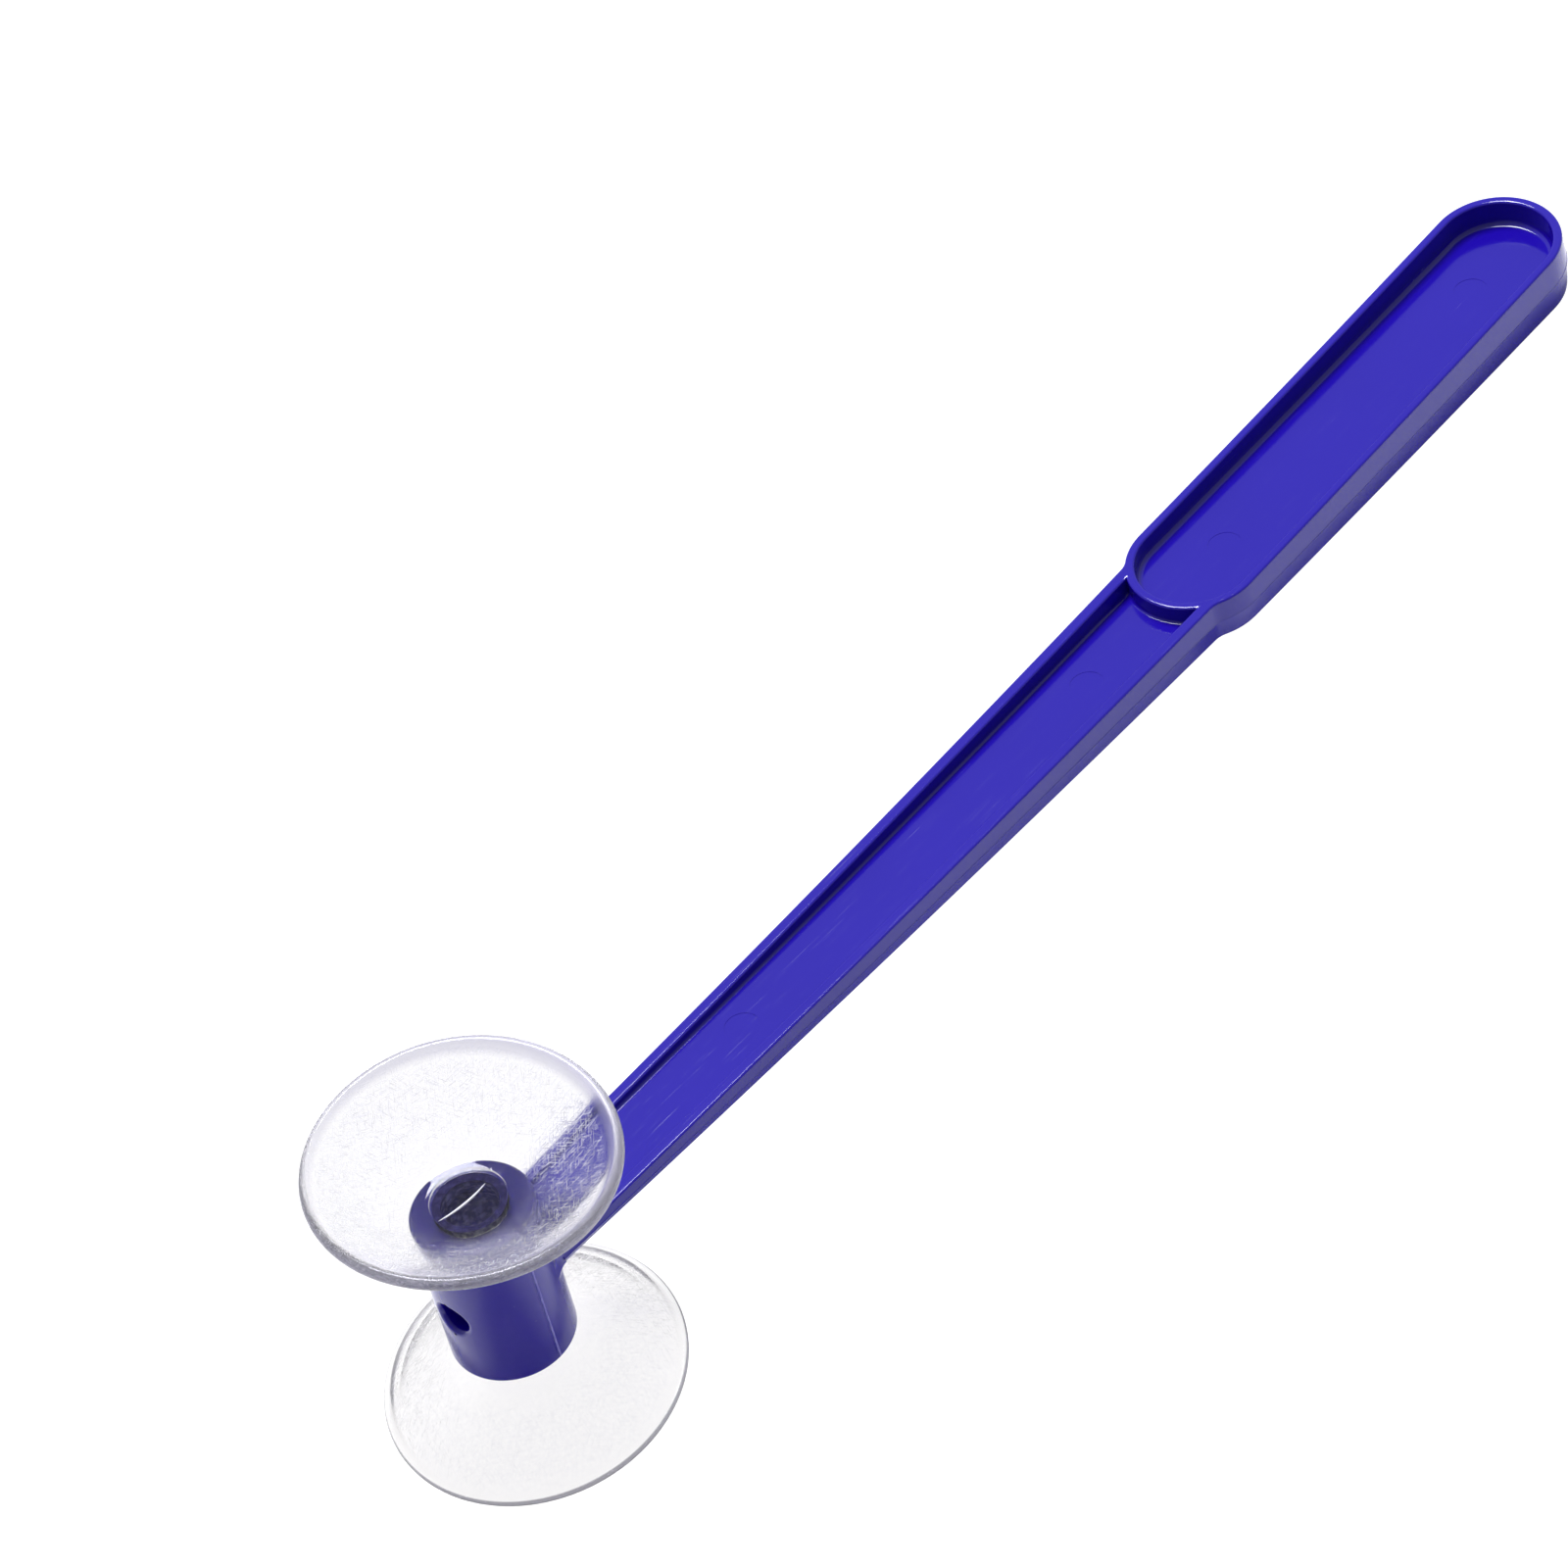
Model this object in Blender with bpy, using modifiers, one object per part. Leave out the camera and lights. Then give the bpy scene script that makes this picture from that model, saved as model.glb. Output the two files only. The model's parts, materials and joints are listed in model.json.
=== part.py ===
"""Suction-cup mallet: a one-piece plastic handle and barrel, with a soft clear cup plugged into each barrel end.

The mallet's own frame has its origin at the barrel's centre, +X along the handle and +Z along the barrel. It
rests on its lower cup and on the end of its grip, so that frame is tilted a few degrees on the floor, Z = 0.
"""
import math

import bmesh
import bpy
from mathutils import Matrix, Vector

MM = 0.001
GAP = 0.3 * MM

# Barrel: a tube whose bore takes a cup's stem at each end.
BARREL_DIAMETER = 20.5 * MM
BARREL_LENGTH = 29.0 * MM
BARREL_EDGE = 0.6 * MM
BORE_DIAMETER = 11.6 * MM
SIDE_HOLE_DIAMETER = 5.6 * MM
SIDE_HOLE_DROP = 1.0 * MM

# Handle, in plan. The grip has a half-round end, and starts with a half-round shoulder.
HANDLE_REACH = 281.0 * MM
GRIP_LENGTH = 112.5 * MM
GRIP_WIDTH = 24.0 * MM
STICK_WIDTH_AT_BARREL = 15.2 * MM
STICK_WIDTH_AT_GRIP = 19.6 * MM
SHOULDER_FILLET = 4.0 * MM

# Handle, from the side: a wedge, with a thin web between an upper and a lower recess.
THICKNESS_AT_BARREL = 2.8 * MM
THICKNESS_AT_TIP = 11.1 * MM
WEB = 1.0 * MM
GRIP_RIM = 1.7 * MM
STICK_RIM = 2.2 * MM
DRAFT = 0.35 * MM
RIM_ROUND = 0.45 * MM
RECESS_FOOT = 0.5 * MM
CHANNEL_START = 2.5 * MM

# Suction cups. Heights are measured along a cup's axis from the barrel's end face.
CUP_DIAMETER = 50.0 * MM
CUP_HEIGHT = 13.0 * MM
CUP_RIM = 1.7 * MM
CUP_PAD_DIAMETER = 12.0 * MM
CUP_PAD_TOP = 3.3 * MM
CUP_PAD_DIMPLE = 0.4 * MM
CUP_SKIRT_START = 1.4 * MM
NECK_DIAMETER = 8.0 * MM
STEM_BULB_DIAMETER = BORE_DIAMETER - 2 * GAP
NECK_SPLIT = 0.3 * MM

ROUND_STEPS = 48
QUARTER_STEPS = 10
CORNER_STEPS = 5
BOWL_STEPS = 8
BULB_STEPS = 9

BARREL_RADIUS = BARREL_DIAMETER / 2
BARREL_HALF = BARREL_LENGTH / 2
GRIP_RADIUS = GRIP_WIDTH / 2
TIP_CENTRE = HANDLE_REACH - GRIP_RADIUS
SHOULDER_CENTRE = HANDLE_REACH - GRIP_LENGTH + GRIP_RADIUS
CUP_RADIUS = CUP_DIAMETER / 2
BULB_RADIUS = STEM_BULB_DIAMETER / 2
# A cup rocks about the middle of its stem's bulb, which just reaches the barrel's end face.
PIVOT_DEPTH = BULB_RADIUS


def clear_scene():
    for item in list(bpy.data.objects):
        bpy.data.objects.remove(item, do_unlink=True)


def new_collection(name):
    collection = bpy.data.collections.new(name)
    bpy.context.scene.collection.children.link(collection)
    return collection


def plastic(name, colour, roughness, transmission=0.0, ior=1.5):
    material = bpy.data.materials.new(name)
    material.use_nodes = True
    shader = material.node_tree.nodes["Principled BSDF"]
    shader.inputs["Base Color"].default_value = (*colour, 1.0)
    shader.inputs["Roughness"].default_value = roughness
    shader.inputs["Transmission Weight"].default_value = transmission
    shader.inputs["IOR"].default_value = ior
    return material


def add_mesh(name, form, collection, material=None, parent=None):
    """Turns a bmesh into a smooth-shaded object."""
    bmesh.ops.recalc_face_normals(form, faces=form.faces)
    mesh = bpy.data.meshes.new(name)
    form.to_mesh(mesh)
    form.free()
    mesh.shade_smooth()
    mesh.set_sharp_from_angle(angle=math.radians(35))
    item = bpy.data.objects.new(name, mesh)
    collection.objects.link(item)
    item.parent = parent
    if material:
        mesh.materials.append(material)
    return item


def add_cutter(name, form, parent):
    cutter = add_mesh(name, form, cutters, parent=parent)
    cutter.hide_render = True
    cutter.display_type = "WIRE"
    return cutter


def add_boolean(item, operation, other):
    modifier = item.modifiers.new(operation.lower() + "_" + other.name, "BOOLEAN")
    modifier.operation = operation
    modifier.solver = "EXACT"
    modifier.object = other


def arc(centre_x, centre_y, radius, start, end, steps):
    """Points along an arc in plan, both ends included."""
    angles = [start + (end - start) * i / steps for i in range(steps + 1)]
    return [(centre_x + radius * math.cos(a), centre_y + radius * math.sin(a)) for a in angles]


def mirrored(half):
    """Closes a half outline, given on +Y from the tip inwards, with its mirror image on -Y."""
    return half + [(x, -y) for x, y in reversed(half) if y > 1e-9]


STICK_SLOPE = (STICK_WIDTH_AT_GRIP - STICK_WIDTH_AT_BARREL) / 2 / (SHOULDER_CENTRE - BARREL_RADIUS)
STICK_ANGLE = math.atan(STICK_SLOPE)


def stick_side(x, inset):
    """Y of the stick's side wall, moved inwards by the inset."""
    half = STICK_WIDTH_AT_BARREL / 2 + STICK_SLOPE * (x - BARREL_RADIUS)
    return half - inset / math.cos(STICK_ANGLE)


def handle_outline(inset):
    """The handle's outer plan, moved inwards by the inset: the tip, the shoulder and its fillet, the stick."""
    fillet = SHOULDER_FILLET + inset
    reach = GRIP_RADIUS - inset + fillet
    # The fillet's centre is a fillet radius off the stick's side and touches the shoulder's circle.
    lift = stick_side(SHOULDER_CENTRE, inset - fillet)
    a = 1 + STICK_SLOPE ** 2
    b = 2 * STICK_SLOPE * lift
    c = lift ** 2 - reach ** 2
    back = (-b - math.sqrt(b * b - 4 * a * c)) / (2 * a)
    fillet_x, fillet_y = SHOULDER_CENTRE + back, lift + STICK_SLOPE * back
    touch = math.atan2(fillet_y, fillet_x - SHOULDER_CENTRE)
    half = arc(TIP_CENTRE, 0, GRIP_RADIUS - inset, 0, math.pi / 2, QUARTER_STEPS)
    half += arc(SHOULDER_CENTRE, 0, GRIP_RADIUS - inset, math.pi / 2, touch, CORNER_STEPS)
    half += arc(fillet_x, fillet_y, fillet, touch - math.pi, STICK_ANGLE - math.pi / 2, CORNER_STEPS)[1:]
    half += [(BARREL_RADIUS / 2 + BORE_DIAMETER / 4, stick_side(BARREL_RADIUS, inset))]
    return mirrored(half)


def tray_outline(inset):
    """The grip's recess: the grip's own plan, one rim further in."""
    radius = GRIP_RADIUS - GRIP_RIM - inset
    half = arc(TIP_CENTRE, 0, radius, 0, math.pi / 2, QUARTER_STEPS)
    half += arc(SHOULDER_CENTRE, 0, radius, math.pi / 2, math.pi, QUARTER_STEPS)
    return mirrored(half)


def channel_outline(inset):
    """The stick's recess, between its rims, from the barrel to the grip's rounded wall."""
    wall = GRIP_RADIUS + inset
    side = STICK_RIM + inset
    a = 1 + STICK_SLOPE ** 2
    at_shoulder = stick_side(SHOULDER_CENTRE, side)
    b = 2 * STICK_SLOPE * at_shoulder
    c = at_shoulder ** 2 - wall ** 2
    back = (-b - math.sqrt(b * b - 4 * a * c)) / (2 * a)
    corner = math.atan2(at_shoulder + STICK_SLOPE * back, back)
    start = BARREL_RADIUS + CHANNEL_START + inset
    half = arc(SHOULDER_CENTRE, 0, wall, math.pi, corner, CORNER_STEPS)
    half += [(start, stick_side(start, side))]
    return mirrored(half)


def handle_top(x):
    """Z of the handle's upper side: half the wedge's thickness."""
    share = (x - BARREL_RADIUS) / (HANDLE_REACH - BARREL_RADIUS)
    return (THICKNESS_AT_BARREL + (THICKNESS_AT_TIP - THICKNESS_AT_BARREL) * share) / 2


def loft(outline, levels, close_first):
    """Skins rings of one outline. Each level is an inset, and a height as a function of x."""
    form = bmesh.new()
    rings = []
    for inset, height in levels:
        rings.append([form.verts.new((x, y, height(x))) for x, y in outline(inset)])
    for low, high in zip(rings, rings[1:]):
        for i in range(len(low)):
            j = (i + 1) % len(low)
            form.faces.new((low[i], low[j], high[j], high[i]))
    form.faces.new(rings[-1])
    if close_first:
        form.faces.new(list(reversed(rings[0])))
    return form


QUARTER = [math.radians(a) for a in (0, 30, 60, 90)]


def slab_levels():
    """From the parting line up: the drafted wall, then the rim's rounded outer edge."""
    levels = [(-DRAFT, lambda x: 0.0)]
    for a in QUARTER:
        inset = RIM_ROUND * (1 - math.cos(a))
        drop = RIM_ROUND * (1 - math.sin(a))
        levels.append((inset, lambda x, drop=drop: handle_top(x) - drop))
    return levels


def recess_levels(foot):
    """From the web up: the foot's fillet, the wall, the rim's rounded inner edge, and clear of the top."""
    levels = []
    for a in QUARTER:
        inset = foot * (1 - math.sin(a))
        rise = foot * (1 - math.cos(a))
        levels.append((inset, lambda x, rise=rise: WEB / 2 + rise))
    for a in QUARTER:
        inset = -RIM_ROUND * (1 - math.cos(a))
        drop = RIM_ROUND * (1 - math.sin(a))
        levels.append((inset, lambda x, drop=drop: handle_top(x) - drop))
    levels.append((-RIM_ROUND, lambda x: handle_top(x) + RIM_ROUND))
    return levels


def add_mirror(item):
    modifier = item.modifiers.new("both_sides", "MIRROR")
    modifier.use_axis = (False, False, True)
    modifier.merge_threshold = 0.01 * MM


def cylinder(radius, length, matrix=Matrix.Identity(4)):
    form = bmesh.new()
    bmesh.ops.create_cone(form, cap_ends=True, segments=ROUND_STEPS, radius1=radius, radius2=radius,
                          depth=length, matrix=matrix)
    return form


def make_mallet_body(parent):
    """The one moulding: handle slab and barrel joined, then the recesses, the bore and the side hole cut."""
    body = add_mesh("mallet_body", loft(handle_outline, slab_levels(), False), parts, blue_plastic, parent)
    add_mirror(body)

    barrel = add_cutter("barrel_form", cylinder(BARREL_RADIUS, BARREL_LENGTH), parent)
    edge = barrel.modifiers.new("edge", "BEVEL")
    edge.width = BARREL_EDGE
    edge.segments = 3
    edge.limit_method = "ANGLE"
    edge.angle_limit = math.radians(60)
    add_boolean(body, "UNION", barrel)

    tray = add_cutter("grip_recess", loft(tray_outline, recess_levels(RECESS_FOOT), True), parent)
    channel = add_cutter("stick_recess", loft(channel_outline, recess_levels(RECESS_FOOT / 2), True), parent)
    for recess in (tray, channel):
        add_mirror(recess)
        add_boolean(body, "DIFFERENCE", recess)

    bore = add_cutter("bore", cylinder(BORE_DIAMETER / 2, BARREL_LENGTH + 4 * BARREL_EDGE), parent)
    add_boolean(body, "DIFFERENCE", bore)

    sideways = Matrix.Translation((-BARREL_RADIUS, 0, -SIDE_HOLE_DROP)) @ Matrix.Rotation(math.pi / 2, 4, "Y")
    hole = add_cutter("side_hole", cylinder(SIDE_HOLE_DIAMETER / 2, 2 * BARREL_RADIUS, sideways), parent)
    add_boolean(body, "DIFFERENCE", hole)
    return body


def turned(name, profile, parent):
    """A solid of revolution about Z from a profile of (radius, height), starting and ending on the axis."""
    form = bmesh.new()
    points = [form.verts.new((r, 0, z)) for r, z in profile]
    for a, b in zip(points, points[1:]):
        form.edges.new((a, b))
    mesh = bpy.data.meshes.new(name)
    form.to_mesh(mesh)
    form.free()
    item = bpy.data.objects.new(name, mesh)
    parts.objects.link(item)
    item.parent = parent
    screw = item.modifiers.new("turn", "SCREW")
    screw.steps = screw.render_steps = ROUND_STEPS
    screw.use_merge_vertices = True
    screw.merge_threshold = 0.01 * MM
    screw.use_smooth_shade = True
    mesh.materials.append(clear_vinyl)
    return item


def bowl(inner_r, inner_z, outer_r, outer_z, steps):
    """Points of a bowl's wall: an arc that leaves the inner point level and climbs to the outer point."""
    run, rise = outer_r - inner_r, outer_z - inner_z
    radius = (run ** 2 + rise ** 2) / (2 * rise)
    sweep = math.atan2(run, radius - rise)
    angles = [sweep * i / steps for i in range(steps + 1)]
    return [(inner_r + radius * math.sin(a), inner_z + radius * (1 - math.cos(a))) for a in angles]


def skirt_profile():
    """A cup above its split neck, from the pad's centre over the rim and back to the axis.

    Heights are measured from the pivot, which is in the bore."""
    base = PIVOT_DEPTH
    pad = CUP_PAD_DIAMETER / 2
    floor = CUP_PAD_TOP - CUP_PAD_DIMPLE
    profile = [(0, base + floor), (pad - CUP_PAD_DIMPLE / 2, base + floor)]
    profile += bowl(pad, base + CUP_PAD_TOP, CUP_RADIUS - CUP_RIM, base + CUP_HEIGHT, BOWL_STEPS)
    profile += [(CUP_RADIUS - CUP_RIM / 3, base + CUP_HEIGHT), (CUP_RADIUS, base + CUP_HEIGHT - CUP_RIM / 3)]
    underside = bowl(NECK_DIAMETER / 2, base + CUP_SKIRT_START, CUP_RADIUS,
                     base + CUP_HEIGHT - CUP_RIM, BOWL_STEPS)
    profile += list(reversed(underside))
    profile += [(NECK_DIAMETER / 2, base + NECK_SPLIT + GAP), (0, base + NECK_SPLIT + GAP)]
    return profile


def stem_profile():
    """The stem below the split: a short neck on a bulb that fills the bore."""
    waist = math.asin(NECK_DIAMETER / 2 / BULB_RADIUS)

    angles = [waist + (math.pi - waist) * i / BULB_STEPS for i in range(BULB_STEPS)]
    profile = [(0, PIVOT_DEPTH + NECK_SPLIT), (NECK_DIAMETER / 2, PIVOT_DEPTH + NECK_SPLIT)]
    profile += [(BULB_RADIUS * math.sin(a), BULB_RADIUS * math.cos(a)) for a in angles]
    return profile + [(0, -BULB_RADIUS)]


def resting_tilt():
    """How far the barrel leans towards the grip when the lower cup's rim and the tip's lower edge touch down.

    The lower cup's pivot is CUP_HEIGHT + PIVOT_DEPTH above the floor, and the tip's rounded edge turns about it.
    """
    ahead = HANDLE_REACH - RIM_ROUND
    above = BARREL_HALF - PIVOT_DEPTH - handle_top(HANDLE_REACH) + RIM_ROUND
    height = CUP_HEIGHT + PIVOT_DEPTH - RIM_ROUND
    return math.asin(height / math.hypot(ahead, above)) + math.atan2(above, ahead)


def add_empty(name, location, rotation, parent=None):
    empty = bpy.data.objects.new(name, None)
    empty.empty_display_size = 10 * MM
    bpy.context.scene.collection.objects.link(empty)
    empty.location = location
    empty.rotation_euler = rotation
    empty.parent = parent
    return empty


def place_over_origin(root):
    """Slides the whole part along X until its box is centred over the origin, and stands it on Z = 0."""
    bpy.context.view_layer.update()
    depsgraph = bpy.context.evaluated_depsgraph_get()
    corners = []
    for item in parts.objects:
        evaluated = item.evaluated_get(depsgraph)
        corners += [evaluated.matrix_world @ vertex.co for vertex in evaluated.data.vertices]
    xs = [corner.x for corner in corners]
    root.location.x -= (min(xs) + max(xs)) / 2
    root.location.z -= min(corner.z for corner in corners)
    bpy.context.view_layer.update()


clear_scene()
parts = new_collection("suction_cup_mallet")
cutters = new_collection("cutters")
blue_plastic = plastic("moulded_blue_polypropylene", (0.035, 0.02, 0.42), 0.22)
clear_vinyl = plastic("clear_soft_vinyl", (0.86, 0.86, 0.92), 0.12, transmission=0.9, ior=1.53)

tilt = resting_tilt()
lower_pivot = Vector((0, 0, CUP_HEIGHT + PIVOT_DEPTH))
pivot_reach = BARREL_HALF - PIVOT_DEPTH

root = add_empty("part_origin", (0, 0, 0), (0, 0, 0))
# The lower cup lies flat, and the barrel leans over it about the lower pivot.
lower_joint = add_empty("lower_cup_joint", lower_pivot, (math.pi, 0, 0), root)
mallet_frame = add_empty("mallet_frame", lower_pivot + Matrix.Rotation(tilt, 3, "Y") @ Vector((0, 0, pivot_reach)),
                         (0, tilt, 0), root)
upper_joint = add_empty("upper_cup_joint", (0, 0, pivot_reach), (0, 0, 0), mallet_frame)

make_mallet_body(mallet_frame)
for side, joint in (("upper", upper_joint), ("lower", lower_joint)):
    turned(side + "_cup_stem", stem_profile(), joint)
    turned(side + "_cup_skirt", skirt_profile(), joint)
place_over_origin(root)
print("leans %.2f degrees" % math.degrees(tilt))
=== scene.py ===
# %% [markdown]
# # Suction-cup mallet
#
# The object is a toy mallet in three pieces. One glossy blue moulding is both handle and barrel, and a soft
# clear cup is plugged into each end of the barrel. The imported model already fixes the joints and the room
# that each piece may fill. It is loaded first, because its joints put each visible piece below in place.

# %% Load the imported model
import json
import math

import bmesh
import bpy
from mathutils import Matrix, Vector


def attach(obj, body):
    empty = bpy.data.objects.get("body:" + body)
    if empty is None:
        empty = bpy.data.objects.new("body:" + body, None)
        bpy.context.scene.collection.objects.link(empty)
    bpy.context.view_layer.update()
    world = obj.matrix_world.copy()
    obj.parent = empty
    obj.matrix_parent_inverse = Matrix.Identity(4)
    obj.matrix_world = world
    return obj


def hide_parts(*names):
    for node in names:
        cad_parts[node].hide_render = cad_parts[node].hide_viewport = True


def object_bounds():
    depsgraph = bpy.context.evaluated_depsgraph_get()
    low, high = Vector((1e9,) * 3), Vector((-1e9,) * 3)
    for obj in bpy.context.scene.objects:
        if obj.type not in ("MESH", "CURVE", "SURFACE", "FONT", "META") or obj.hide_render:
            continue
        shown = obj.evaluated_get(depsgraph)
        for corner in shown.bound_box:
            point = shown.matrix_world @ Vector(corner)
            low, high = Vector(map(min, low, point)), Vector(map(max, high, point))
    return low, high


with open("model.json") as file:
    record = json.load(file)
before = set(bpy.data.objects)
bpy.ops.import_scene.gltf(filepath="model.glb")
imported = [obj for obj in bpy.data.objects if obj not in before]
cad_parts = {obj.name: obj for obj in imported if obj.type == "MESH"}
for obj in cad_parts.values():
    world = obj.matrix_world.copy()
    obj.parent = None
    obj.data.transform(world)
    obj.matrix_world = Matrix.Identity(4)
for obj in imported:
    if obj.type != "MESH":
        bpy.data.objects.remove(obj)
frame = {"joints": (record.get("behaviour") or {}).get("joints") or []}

cad_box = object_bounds()
print("the packed model spans", [round(1000 * side, 1) for side in cad_box[1] - cad_box[0]], "mm")

# %% [markdown]
# ## The mallet's own frame
#
# The mallet lies on the rim of its lower cup and on the end of its grip, so its barrel leans by a few
# degrees. Modelling in tilted world coordinates would be awkward. Instead each piece is modelled upright,
# around its own origin, and then placed by a matrix. The two joints where the cups rock give that matrix:
# the barrel's centre is halfway between them, and the barrel's axis is the line through them.

# %% Find the barrel in the model's joints
MM = 0.001

pivots = {joint["name"]: Vector(joint["pos_m"]) for joint in frame["joints"]}
upper_pivot = pivots["upper_cup_flex"]
lower_pivot = pivots["lower_cup_flex"]


def placed_along(axis, origin):
    """A frame with its Z along the axis and its Y along the world's Y."""
    along = axis.normalized()
    across = Vector((0, 1, 0))
    forward = across.cross(along)
    return Matrix.Translation(origin) @ Matrix((forward, across, along)).transposed().to_4x4()


mallet_frame = placed_along(upper_pivot - lower_pivot, (upper_pivot + lower_pivot) / 2)
upper_cup_frame = placed_along(upper_pivot - lower_pivot, upper_pivot)
lower_cup_frame = Matrix.Translation(lower_pivot) @ Matrix.Rotation(math.pi, 4, "X")
print("the barrel leans %.2f degrees" % math.degrees(math.acos(mallet_frame.col[2].z)))

# %% [markdown]
# ## Studio
#
# Small goods are often shown on a white sheet that is lit until it is plain white, with one strong soft box
# high up behind them. That light runs thin highlights along raised rims, and the lit sheet draws a pale
# film over the sides of a glossy object, while the front of the barrel reflects its own shadow and stays
# dark. Such a sheet shows next to no shadow, and an ordinary lit floor would show a clear one. So this
# floor is two things at once: a matt white sheet to the object, and mostly plain white where it is looked
# at, straight or through a cup.

# %% Colour and node helpers


def linear(code):
    """Turns an sRGB hex code, such as "#2A1CB0", into the linear colour that a shader needs."""
    channels = [int(code[i:i + 2], 16) / 255 for i in (1, 3, 5)]
    return [c / 12.92 if c <= 0.04045 else ((c + 0.055) / 1.055) ** 2.4 for c in channels] + [1.0]


def add_node(tree, kind, inputs=None, **settings):
    """Adds a node. Each input takes a value, an output to link to, or a node whose first output is linked."""
    node = tree.nodes.new(kind)
    for name, value in settings.items():
        setattr(node, name, value)
    for socket, value in (inputs or {}).items():
        if isinstance(value, bpy.types.Node):
            value = value.outputs[0]
        if isinstance(value, bpy.types.NodeSocket):
            tree.links.new(value, node.inputs[socket])
        else:
            node.inputs[socket].default_value = value
    return node


# A mesh attribute that keeps where each point was before its piece was put in place.
OWN_PLACE = "own_place"


def new_material(name):
    """An empty node material, and its tree."""
    material = bpy.data.materials.new(name)
    material.use_nodes = True
    material.node_tree.nodes.clear()
    return material, material.node_tree


print("the grey #808080 is %.3f in linear light" % linear("#808080")[0])

# %% White floor
FLOOR_SIZE = 6.0
FLOOR_GAP = 0.05 * MM
MOTTLE_WIDTH = 1000 / 3 * MM
SHEET_WHITE = 1.35
# How much of the sheet's look is plain white, and so takes no shadow.
PLAIN_SHARE = 0.8

sheet, tree = new_material("matt_white_paper_sheet")
place = add_node(tree, "ShaderNodeTexCoord").outputs["Object"]
mottle = add_node(tree, "ShaderNodeTexNoise", {"Vector": place, "Scale": 1 / MOTTLE_WIDTH, "Detail": 2.0})
paper = add_node(tree, "ShaderNodeMix", {
    0: mottle.outputs["Fac"], 6: linear("#F3F3F3"), 7: linear("#F6F6F6")}, data_type="RGBA")
lit = add_node(tree, "ShaderNodeBsdfDiffuse", {"Color": paper.outputs[2]})
plain = add_node(tree, "ShaderNodeEmission", {"Color": linear("#FFFFFF"), "Strength": SHEET_WHITE})
path = add_node(tree, "ShaderNodeLightPath").outputs
looked_at = add_node(tree, "ShaderNodeMath", {
    0: path["Is Camera Ray"], 1: path["Is Transmission Ray"]}, operation="MAXIMUM")
share = add_node(tree, "ShaderNodeMath", {0: looked_at, 1: PLAIN_SHARE}, operation="MULTIPLY")
mixed = add_node(tree, "ShaderNodeMixShader", {0: share, 1: lit, 2: plain})
add_node(tree, "ShaderNodeOutputMaterial", {"Surface": mixed})

bpy.ops.mesh.primitive_grid_add(x_subdivisions=8, y_subdivisions=8, size=FLOOR_SIZE)
floor = bpy.context.object
floor.name = "studio_floor"
floor.location.z = cad_box[0].z - FLOOR_GAP
floor.data.materials.append(sheet)
print("the floor is %.0f m wide" % FLOOR_SIZE)

# %% Dome and soft box
DOME_BEHIND = 0.75
DOME_IN_FRONT = 0.30
BEHIND = Vector((0.58, 0.81, 0.0))

world = bpy.data.worlds.new("pale_dome")
world.use_nodes = True
tree = world.node_tree
direction = add_node(tree, "ShaderNodeTexCoord").outputs["Generated"]
backward = add_node(tree, "ShaderNodeVectorMath", {0: direction, 1: BEHIND}, operation="DOT_PRODUCT")
strength = add_node(tree, "ShaderNodeMapRange", {
    "Value": backward.outputs["Value"], "From Min": -1.0, "From Max": 1.0,
    "To Min": DOME_IN_FRONT, "To Max": DOME_BEHIND})
tree.nodes["Background"].inputs["Color"].default_value = linear("#FBFBFD")
tree.links.new(strength.outputs[0], tree.nodes["Background"].inputs["Strength"])
bpy.context.scene.world = world
bpy.context.scene.view_settings.view_transform = "Standard"


def add_soft_box(name, elevation, distance, size, power):
    """A square area light behind the object, which faces it."""
    light = bpy.data.lights.new(name, "AREA")
    light.shape = "SQUARE"
    light.size = size
    light.energy = power
    box = bpy.data.objects.new(name, light)
    bpy.context.scene.collection.objects.link(box)
    angle = math.radians(elevation)
    box.location = (BEHIND * math.cos(angle) + Vector((0, 0, math.sin(angle)))) * distance
    box.rotation_mode = "QUATERNION"
    box.rotation_quaternion = (-box.location).to_track_quat("-Z", "Y")


add_soft_box("soft_box_overhead", elevation=66, distance=1.1, size=0.4, power=17.5)

# %% [markdown]
# ## Camera
#
# A long lens from about a metre away keeps the two ends of the handle close to their true proportions. The
# camera looks down on the mallet from beyond its barrel end, and is rolled so that the handle runs corner
# to corner.

# %% Place the camera
CAMERA_DISTANCE = 942.3 * MM
CAMERA_AZIMUTH = math.radians(-35.62)
CAMERA_ELEVATION = math.radians(47.0)
CAMERA_ROLL = math.radians(19.81)
CAMERA_LENS = 126.3
CAMERA_AIM = Vector((-12.7, 43.4, 0.0)) * MM

toward_camera = Vector((math.sin(CAMERA_AZIMUTH) * math.cos(CAMERA_ELEVATION),
                        -math.cos(CAMERA_AZIMUTH) * math.cos(CAMERA_ELEVATION),
                        math.sin(CAMERA_ELEVATION)))
camera = bpy.data.objects.new("camera", bpy.data.cameras.new("camera"))
bpy.context.scene.collection.objects.link(camera)
camera.data.lens = CAMERA_LENS
camera.data.sensor_width = 36.0
camera.location = CAMERA_AIM + toward_camera * CAMERA_DISTANCE
camera.rotation_mode = "QUATERNION"
camera.rotation_quaternion = ((-toward_camera).to_track_quat("-Z", "Y")
                              @ Matrix.Rotation(-CAMERA_ROLL, 3, "Z").to_quaternion())
bpy.context.scene.camera = camera
print("the camera stands at", [round(1000 * side) for side in camera.location], "mm")

# %% [markdown]
# ## Blue polypropylene
#
# Cheap moulded toys are mostly polypropylene. The steel mould was polished, so the skin is glossy, but the
# plastic sinks a little as it cools, and handling leaves fine scuffs. The eye gets a deep even blue under a
# clear reflection that wavers slightly and breaks up in hair-thin streaks.

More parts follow.
